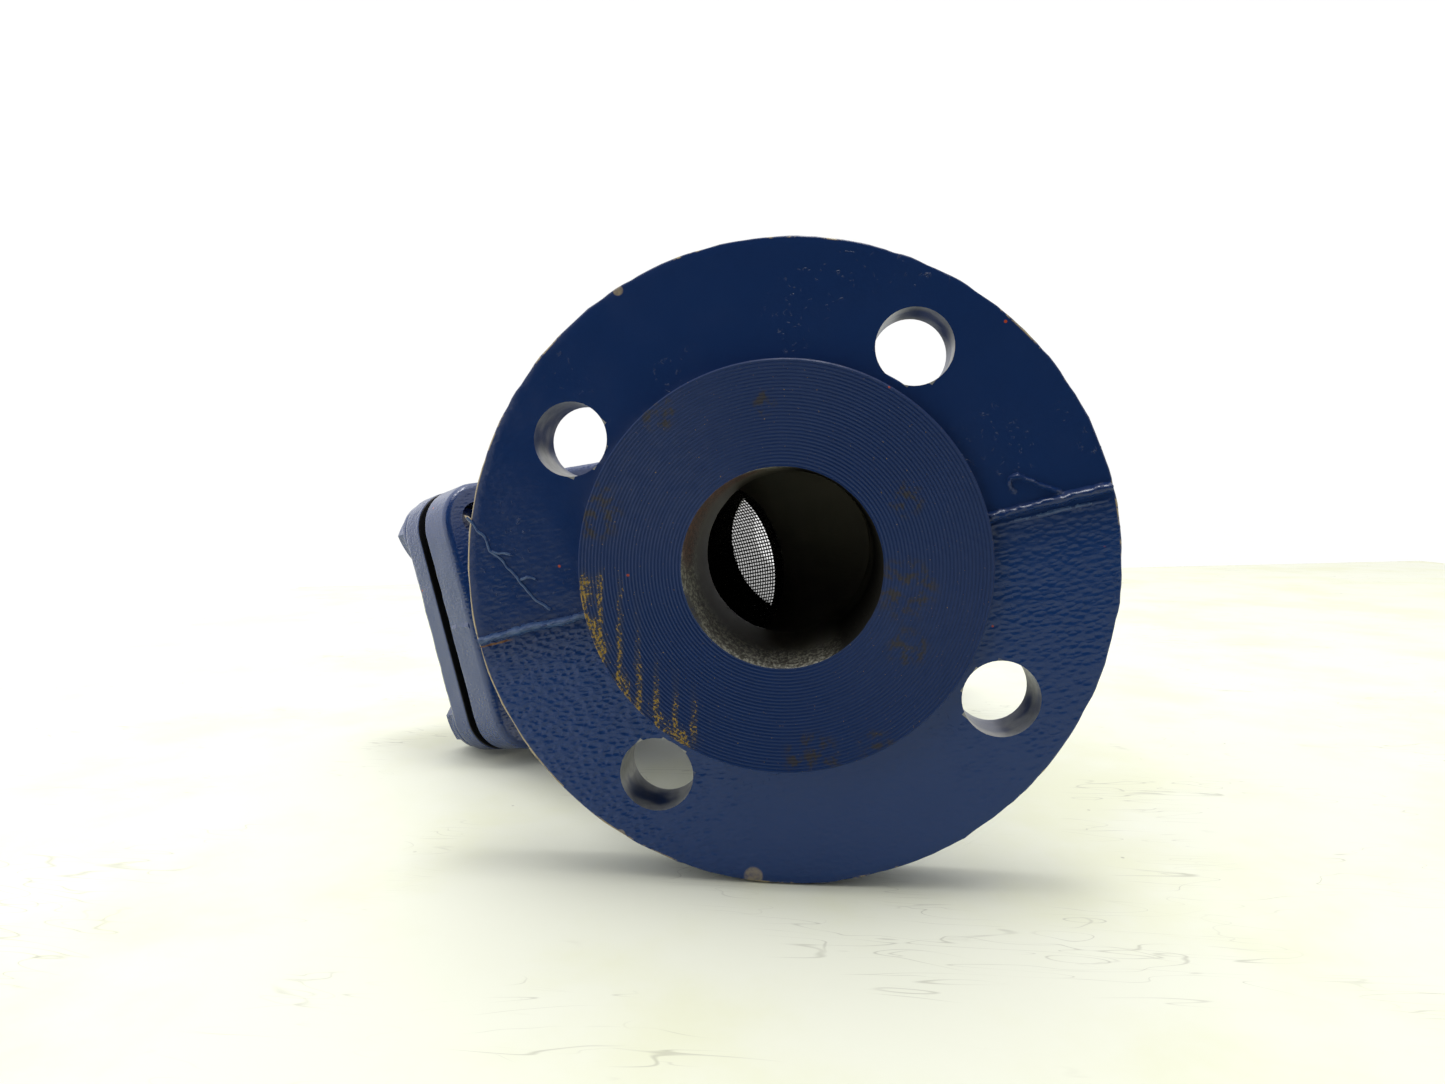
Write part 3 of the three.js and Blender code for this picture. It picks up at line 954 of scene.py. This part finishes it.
def parting_fin(name, at, start, end, seed):
    """The parting line's low fin down a rim or side, along Y at that x."""
    sign = math.copysign(1, at)
    rings = []
    for y in np.linspace(start, end, 24):
        lump = noise.noise(Vector((at, y / 2.5, seed)))
        half, height = 1.1 + 0.4 * lump, 0.35 + 0.25 * lump
        z = 0.3 * noise.noise(Vector((y / 4, seed, at)))
        outline = [(-1, z - 2), (0, z - half), (height, z), (0, z + half), (-1, z + 2)]
        rings.append([(at + sign * out, y, across) for out, across in outline])
    return loft(name, rings, capped=True)


def parting_line():
    """The parting line's ridges on both flange faces, their rims and the leg flange's sides."""
    rim = (RAISED_FACE.height + 1, FLANGE.back - 1)
    side = (LEG_FLANGE.back + 2, LEG_FLANGE.square_face - 1)
    made = [placed(parting_fin("side_fin", x * SQUARE.half, *side, x), LEG_IN_PIPE) for x in (-1, 1)]
    made += [paint_run(path) for path in PAINT_RUNS]
    for turn, seed in ((Matrix.Identity(4), 0), (outlet_turn(), 5)):
        made += [
            placed(face_ridge("leg_side_ridge", LEG_SIDE_RIDGE, seed), turn),
            placed(face_ridge("far_side_ridge", FAR_SIDE_RIDGE, seed + 2), turn),
            placed(parting_fin("rim_fin", -FLANGE.radius + 0.3, *rim, seed), turn),
            placed(parting_fin("rim_fin", FLANGE.radius - 0.3, *rim, seed + 1), turn),
        ]
    return made


def outlet_turn():
    """From the inlet flange to the outlet flange: half a turn, so that both look outwards."""
    return Matrix.Translation((0, FACE_TO_FACE, 0)) @ Matrix.Rotation(math.pi, 4, "X")


def half_space(side):
    """A block on one side of the leg axis, larger than the bores."""
    mesh = bpy.data.meshes.new("half_space")
    work = bmesh.new()
    size = FACE_TO_FACE
    matrix = Matrix.Translation((side * size / 2, 0, 0)) @ Matrix.Diagonal((size, 2 * size, size, 1))
    bmesh.ops.create_cube(work, size=1, matrix=matrix)
    work.to_mesh(mesh)
    work.free()
    return placed(add_object("half_space", mesh), LEG_IN_PIPE)


def leg_rod(name, radius, start, end, around):
    return placed(rod(name, radius, start, end, around), LEG_IN_PIPE)


def rough_rod(name, radius, start, end):
    """A cutter for a cast bore, with a slightly uneven wall."""
    return roughened(turned(name, cylinder(radius - 0.15, start, end), AROUND.bore, 4), *BORE_SKIN)


def inlet_cavity():
    """The inlet bore as far as the wall between the bores, and the passage to the screen's seat."""
    bore = rough_rod("inlet_bore", BORE_RADIUS, -PAST, FACE_TO_FACE / 2 + BORE_RADIUS)
    passage = leg_rod("passage", SEAT.radius, -FACE_TO_FACE, FACE_TO_FACE, AROUND.bore)
    throat = leg_rod("throat", SEAT.radius, 0, SEAT.out + PAST, AROUND.bore)
    way = combined(bore, joined(half_space(-1), passage), "INTERSECT")
    return joined(way, throat)


def outlet_cavity():
    """The outlet bore, from behind the wall between the two bores."""
    crossing = LEG_IN_PIPE.translation.y
    bore = rough_rod("outlet_bore", BORE_RADIUS, crossing - BORE_RADIUS, FACE_TO_FACE + PAST)
    wall = leg_rod("wall", WALL_BACK, -FACE_TO_FACE, SEAT.out, AROUND.bore)
    return cut(combined(bore, half_space(1), "INTERSECT"), wall)


def flange_hole_places():
    """The middles of the flange's bolt holes, as [x, z] in the pipe frame."""
    angles = [(i + 0.5) * 2 * math.pi / BOLT_HOLES for i in range(BOLT_HOLES)]
    return [(BOLT_CIRCLE_RADIUS * math.cos(a), BOLT_CIRCLE_RADIUS * math.sin(a)) for a in angles]


def cover_bolt_places():
    """The cover bolts' offsets from the leg axis, in the order of their names."""
    return [(x * COVER_BOLT_OFFSET, z * COVER_BOLT_OFFSET) for x, z in ((-1, -1), (1, -1), (1, 1), (-1, 1))]


def hole_cutter(radius, start, end, x, z, axes=Matrix.Identity(4)):
    """A cutter for a hole along Y of a frame, x and z off its axis."""
    return placed(rod("hole", radius, start, end, AROUND.small), axes @ Matrix.Translation((x, 0, z)))


def flange_holes():
    """Cutters for the bolt holes of both flanges."""
    ends = ((-PAST, FLANGE.back + PAST), (FACE_TO_FACE - FLANGE.back - PAST, FACE_TO_FACE + PAST))
    return [hole_cutter(BOLT_HOLE_RADIUS, *end, *spot) for spot in flange_hole_places() for end in ends]


def tapped_holes():
    """Cutters for the four tapped holes of the leg flange."""
    ends = (LEG_FLANGE.back - PAST, LEG_FLANGE.face + PAST)
    return [hole_cutter(TAPPED_RADIUS, *ends, *spot, LEG_IN_PIPE) for spot in cover_bolt_places()]


PAINTED, FACED, BARE, DRILLED, MACHINED, LEG_PAINTED, THICK_AND_HIGHLIGHT = range(7)


def body_surfaces(middles):
    """Which of the body's materials each face takes, from its middle in the pipe frame."""
    radius, along = from_y(middles), middles[:, 1]
    leg_radius, out, leg_x, leg_z = in_leg(middles)
    chosen = np.full(len(middles), PAINTED)
    ends = (along < 0.3) | (along > FACE_TO_FACE - 0.3)
    chosen[ends & (radius < RAISED_FACE.radius + 0.1)] = FACED
    chosen[on_paint_runs_and_lit_ridges(middles)] = THICK_AND_HIGHLIGHT
    near_leg = leg_radius < 1.5 * SQUARE.half
    chosen[near_leg & (out > LEG_FLANGE.back - 3)] = LEG_PAINTED
    chosen[near_leg & (out > LEG_FLANGE.square_face - 0.1)] = MACHINED
    chosen[(radius < BORE_RADIUS + 0.15) & ~ends] = BARE
    inside_leg = (leg_radius < LEG.bore + 0.15) & (out < LEG_FLANGE.face - 0.1) & (out > -PAST)
    chosen[inside_leg] = BARE
    for x, z in flange_hole_places():
        near = np.hypot(middles[:, 0] - x, middles[:, 2] - z) < BOLT_HOLE_RADIUS + 0.1
        chosen[near & (radius > RAISED_FACE.radius)] = DRILLED
    for x, z in cover_bolt_places():
        near = np.hypot(leg_x - x, leg_z - z) < TAPPED_RADIUS + 0.1
        chosen[near & (out > LEG_FLANGE.back + 7)] = DRILLED
    return chosen


def on_paint_runs_and_lit_ridges(points):
    """Whether each point is on a paint run or a low ridge, proud of the inlet flange's face; there the
    lighter paint is thick paint and also a painted highlight.
    """
    proud, reach = 0.22, 1.1
    face = cast_face(points[:, 2]) - proud
    crests = [[(x, z, reach, 1) for x, z in path] for path in PAINT_RUNS]
    crests += [LEG_SIDE_RIDGE[0], FAR_SIDE_RIDGE[1]]
    near = np.max([crest_height(points[:, 0], points[:, 2], crest) for crest in crests], 0) > 0
    return near & (points[:, 1] < face) & (points[:, 1] > 1)


def build_body(leg_paint, thick_paint_and_highlight):
    """The whole casting: flanges, run, leg and leg flange, with its bores and holes cut."""
    outside = joined(
        cast_run_and_leg(),
        flange("inlet_flange"),
        placed(flange("outlet_flange"), outlet_turn()),
        leg_flange(),
        *parting_line(),
    )
    leg_bore = leg_rod("leg_bore", LEG.bore, SEAT.out, LEG_FLANGE.face + PAST, AROUND.bore)
    body = cut(outside, inlet_cavity(), outlet_cavity(), leg_bore, *flange_holes(), *tapped_holes())
    body.name = "casting"
    materials = [make() for make in (casting_paint, face_paint, bare_iron, drilled_wall, machined_iron)]
    faced(body, [*materials, leg_paint, thick_paint_and_highlight], body_surfaces)
    finished(placed(body, PIPE), "body_casting", "strainer_body")
    return faceted(body, FACED)


# ---------------------------------------------------------------- cover, bolts and plug


def threaded_rod(name, radius, pitch, start, end):
    """A rod along Y with a V thread, pointed a little at its start."""
    rings_per_turn = 6
    steps = int((end - start) / pitch * rings_per_turn)
    around = AROUND.small
    depth = 0.55 * pitch
    rings = [[(0, start, 0)] * around]
    for i in range(steps + 1):
        y = start + (end - start) * i / steps
        lead = min(1, (y - start) / (1.2 * pitch))
        ring = []
        for k in range(around):
            angle = 2 * math.pi * k / around
            phase = (y / pitch - k / around) % 1
            r = radius - depth * abs(2 * phase - 1) - (1 - lead) * depth
            ring.append((r * math.cos(angle), y, r * math.sin(angle)))
        rings.append(ring)
    rings.append([(0, end, 0)] * around)
    return loft(name, rings)


def hex_head(name, flats, start, end):
    """A hexagon head with its outer corners chamfered off by a cone."""
    corner = flats / math.sqrt(3)
    prism = turned(name, cylinder(corner, start, end), 6)
    drop = 0.6 * (corner - flats / 2)
    dome = [
        [0, start],
        [flats / 2, start],
        [corner + PAST, start + drop],
        [corner + PAST, end - 2 * drop],
        [0.94 * flats / 2, end],
        [0, end],
    ]
    return combined(prism, turned("dome", dome, 2 * AROUND.small), "INTERSECT")


def build_cover(paint, iron):
    """The square cover with its drain boss and the spigot that holds the screen."""
    face, outside = COVER.face, COVER.outside
    plate = square_plate("cover_plate", face, outside, SQUARE.crisp_edge, SQUARE.cast_edge, 2)
    top = outside + BOSS.height
    boss = [
        [0, outside - 3],
        [BOSS.foot + 3, outside - 3],
        [BOSS.foot + 2.6, outside],
        [BOSS.foot - 0.2, outside + 1],
        *arc(BOSS.top - 1.5, top - 1.5, 1.5, 10, 90, 4),
        [0, top],
    ]
    spigot = rounded_ring(SPIGOT.inner, SPIGOT.outer, face - SPIGOT.height, face + 3, 0.5)
    made = joined(
        plate,
        turned("boss", boss, AROUND.bore, 2),
        turned("spigot", spigot, AROUND.bore),
    )
    roughened(made, *SIDE_DENTS, lambda points: (points[:, 1] > face + 1).astype(float))
    ends = (face - 8, top + 8)
    holes = [hole_cutter(COVER.hole, *ends, *spot) for spot in cover_bolt_places()]
    cut(made, rod("plug_hole", BOSS.hole, *ends, AROUND.small), *holes)
    made.name = "cover_plate"

    def on_underside(middles):
        return (middles[:, 1] < face + 0.2).astype(int)

    on_leg(made, [paint, iron], "cover", "painted_casting", "cover", on_underside)


def build_bolts(paint, steel):
    """Each cover bolt and the washer under its head."""
    seat = COVER.outside + GAP
    under = seat + WASHER.thickness + GAP
    middle, reach = (BOLT.tip + 2 + under) / 2, (under - BOLT.tip - 2) / 2 - 0.05

    def on_shank(middles):
        return (abs(middles[:, 1] - middle) < reach).astype(int)

    for i, (x, z) in enumerate(cover_bolt_places(), 1):
        head = hex_head(f"bolt_{i}", BOLT.flats, under, under + BOLT.head)
        shank = threaded_rod("shank", BOLT.shank, BOLT.pitch, BOLT.tip, under + PAST)
        spot = LEG_AXES @ Matrix.Translation((x, 0, z)) @ Matrix.Rotation(0.4 + i, 4, "Y")
        bolt = placed(joined(head, shank), LEG_AXES.inverted() @ spot)
        on_leg(bolt, [paint, steel], f"bolt_{i}", "painted_steel", f"cover_bolt_{i}", on_shank)
        profile = rounded_ring(WASHER.inner, WASHER.outer, seat, seat + WASHER.thickness, 0.4)
        washer = placed(turned(f"washer_{i}", profile, 2 * AROUND.small), spot)
        finished(faced(washer, [paint]), f"bolt_{i}", f"cover_washer_{i}")


def build_plug(brass, copper):
    """The brass drain plug and its copper seal."""
    seat = COVER.outside + BOSS.height + GAP
    under = seat + PLUG_SEAL.thickness + GAP
    top = under + PLUG.collar_height
    edge = PLUG.collar
    sides = [[edge - 0.4, under], [edge, under + 0.4], [edge, top - 0.6], [edge - 0.6, top]]
    collar = turned("plug", [[0, under], *sides, [0, top]], 2 * AROUND.small)
    head = hex_head("plug_head", PLUG.flats, top - PAST, top + PLUG.head)
    shank = threaded_rod("plug_shank", PLUG.shank, PLUG.pitch, COVER.face + 2, under + PAST)
    on_leg(joined(collar, head, shank), [brass], "drain_plug", "brass", "drain_plug")
    profile = rounded_ring(PLUG_SEAL.inner, PLUG_SEAL.outer, seat, seat + PLUG_SEAL.thickness, 0.5)
    seal = turned("plug_seal", profile, 2 * AROUND.small)
    on_leg(seal, [copper], "drain_plug", "copper", "drain_plug_seal")


def build_gasket(fibre):
    """The flat gasket between the leg flange and the cover."""
    ends = (LEG_FLANGE.face + GAP, COVER.face - GAP)
    profile = refined(rounded_ring(GASKET.inner, GASKET.outer, *ends, 0.4), 1.5)
    made = roughened(turned("gasket", profile, AROUND.flange), *GASKET_SKIN)
    on_leg(made, [fibre], "cover", "gasket", "cover_gasket")


# ---------------------------------------------------------------- screen


def wire_mesh(name, paths, sideways, closed):
    """Square wires along paths [wire, point, xyz]; sideways is each point's second direction."""
    outward = paths * (1, 0, 1) / np.linalg.norm(paths * (1, 0, 1), axis=2, keepdims=True)
    half = SCREEN.wire / math.sqrt(2)
    sides = [outward * half, sideways * half, -outward * half, -sideways * half]
    points = np.stack([paths + offset for offset in sides], 2)
    wires, steps = paths.shape[:2]
    index = np.arange(wires * steps * 4).reshape(wires, steps, 4)
    here = index if closed else index[:, :-1]
    there = np.roll(index, -1, 1) if closed else index[:, 1:]
    corners = [here, np.roll(here, -1, 2), np.roll(there, -1, 2), there]
    faces = np.stack(corners, -1).reshape(-1, 4).tolist()
    if not closed:
        faces += index[:, 0].tolist() + index[:, -1, ::-1].tolist()
    return mesh_object(name, points.reshape(-1, 3).tolist(), faces)


def build_screen(wire_metal, band_metal):
    """The woven screen: wires along the leg and wires round it, two bands and the seam strip."""
    start, end = SEAT.out + GAP, COVER.face - GAP
    hoops, count = int((end - start) / SCREEN.pitch), AROUND.screen
    angles = full_turn(count)
    heights = start + (np.arange(hoops) + 0.5) * (end - start) / hoops
    over = np.where(np.add.outer(np.arange(hoops), np.arange(count)) % 2, 1, -1) * SCREEN.weave
    cosines, sines, levels = (
        np.broadcast_to(values, over.shape) for values in (np.cos(angles), np.sin(angles), heights[:, None])
    )

    def woven(radius):
        return np.stack([radius * cosines, levels, radius * sines], 2)

    tangent = np.stack([-sines, np.zeros_like(over), cosines], 2).transpose(1, 0, 2)
    along = wire_mesh("wires_along", woven(SCREEN.middle + over).transpose(1, 0, 2), tangent, False)
    around = wire_mesh("wires_around", woven(SCREEN.middle - over), np.array((0.0, 1.0, 0.0)), True)
    for wires in (along, around):
        on_leg(wires, [wire_metal], "screen", "screen_steel", "screen_mesh")
    for name, low in (("bottom_band", start), ("top_band", end - BAND.height)):
        profile = rounded_ring(BAND.inner, BAND.outer, low, low + BAND.height, 0.25)
        band = turned(name, profile, AROUND.bore)
        on_leg(band, [band_metal], "screen", "screen_steel", f"screen_{name}")
    seam = seam_strip(start + BAND.height + GAP, end - BAND.height - GAP)
    on_leg(seam, [band_metal], "screen", "screen_steel", "screen_seam_strip")


def seam_strip(start, end):
    """The strip along the screen's lap, dented by its spot welds."""
    spacing, reach, dent, dent_angle = 8, 1.5, 0.2, 0.05
    half_angle = SEAM.width / 2 / SEAM.outer
    angles = math.pi + np.linspace(-half_angle, half_angle, 13)
    rings = []
    for y in np.linspace(start, end, int((end - start) / 0.7)):
        weld = dent * max(0.0, 1 - abs((y - start) % spacing - spacing / 2) / reach)
        outer = [SEAM.outer - weld * max(0.0, 1 - abs(a - math.pi) / dent_angle) for a in angles]
        ring = [(r * math.cos(a), y, r * math.sin(a)) for r, a in zip(outer, angles)]
        rings.append(ring + circle(SEAM.inner, y, angles[::-1]))
    return loft("seam_strip", rings, capped=True)


# ---------------------------------------------------------------- studio


def quad(name, corners, material):
    made = mesh_object(name, corners, [(0, 1, 2, 3)])
    made.data.materials.append(material)
    return made


def wall_white(name, glow):
    """A tent wall, bright all over, with faint folds; from outside it can't be seen."""
    look = Surface(name, None, (0.02, 0.02, 0.02), 0.9)
    tone = look.blend(look.noise(1.5, 2), (0.99, 0.99, 0.985), (1.0, 1.0, 0.995))
    inside = look.math("SUBTRACT", 1, look.node("NewGeometry")["Backfacing"])
    return look.use(emission_color=tone, emission_strength=glow, alpha=inside)


def floor_white():
    """The worn white floor: faint yellow stains, short scratches and scuffs."""
    look = Surface("floor_white", None, (0.9, 0.91, 0.85), 0.55)
    stained = look.noise(11.0, 6, 0.6).between(0.42, 0.68)
    color = look.blend(stained, (0.845, 0.855, 0.72), (0.81, 0.82, 0.62))
    for turn, seed in ((0.4, 1.0), (1.3, 2.0), (2.5, 3.0)):
        inputs = {"Vector": look.place, "Rotation": (0, 0, turn), "Scale": (12, 70, 1)}
        inputs["Location"] = (math.cos(turn), math.sin(turn), 0)
        thin = look.noise(1.6, 1, 0.4, 0.9, at=look.node("Mapping", inputs)[0])
        where = look.noise(17.0 + seed, 3).between(0.53, 0.63)
        share = abs(thin - 0.5).between(0, 0.008, 0.42, 0) * where
        color = look.blend(share, color, (0.35, 0.34, 0.26))
    specks = look.cells(70).between(0.02, 0.05, 0.5, 0)
    specks = specks * look.noise(8, 1).between(0.5, 0.58)
    return look.use(base_color=look.blend(specks, color, (0.25, 0.23, 0.17)))


def build_tent():
    """The white floor and the walls round the object; the front wall is seen only by the camera."""
    left, right, front, back = FLOOR.left, FLOOR.right, FLOOR.front, FLOOR.back
    quad("floor", [(left, front, 0), (right, front, 0), (right, back, 0), (left, back, 0)], floor_white())
    for name, (start, end, glow) in WALLS.items():
        corners = [(*start, 0), (*end, 0), (*end, TENT_HEIGHT), (*start, TENT_HEIGHT)]
        wall = quad(f"{name}_wall", corners, wall_white(f"{name}_white", glow))
        wall.visible_diffuse = wall.visible_glossy = wall.visible_shadow = name != "front"


def area_light(name, place, target, size, power):
    lamp = bpy.data.lights.new(name, "AREA")
    lamp.shape = "RECTANGLE"
    lamp.size, lamp.size_y = size
    lamp.energy = power
    made = add_object(name, lamp)
    made.location = place
    made.rotation_euler = (Vector(target) - Vector(place)).to_track_quat("-Z", "Y").to_euler()


def build_lights():
    """A wide softbox above with a brighter middle, and a dim room behind the camera."""
    area_light("top_softbox", (0.1, 0.12, 1.25), (0.03, 0.05, 0.05), (1.4, 1.3), 12)
    area_light("softbox_middle", (0.12, -0.1, 1.2), (0.03, 0, 0.05), (0.35, 0.3), 4)
    world = bpy.data.worlds.new("room")
    world.use_nodes = True
    world.node_tree.nodes["Background"].inputs["Color"].default_value = (0.05, 0.05, 0.055, 1)
    bpy.context.scene.world = world


def build_camera():
    camera = bpy.data.cameras.new("camera")
    camera.lens = LENS
    camera.clip_start = 0.01
    made = add_object("camera", camera)
    made.location = CAMERA_PLACE
    made.rotation_euler = (-Vector(CAMERA_BACK)).to_track_quat("-Z", "Y").to_euler()
    bpy.context.scene.camera = made


def main():
    paint = cover_paint()
    plain = {name: leg_metal(name, *values) for name, values in PLAIN.items()}
    build_body(paint, plain["thick_paint_and_highlight"])
    build_cover(paint, machined_iron())
    build_bolts(paint, plain["bolt_steel"])
    build_plug(plain["plug_brass"], plain["seal_copper"])
    build_gasket(plain["gasket_fibre"])
    build_screen(plain["shaded_wire_steel"], plain["band_steel"])
    build_tent()
    build_lights()
    build_camera()
    bpy.context.scene.view_settings.view_transform = "Standard"


main()
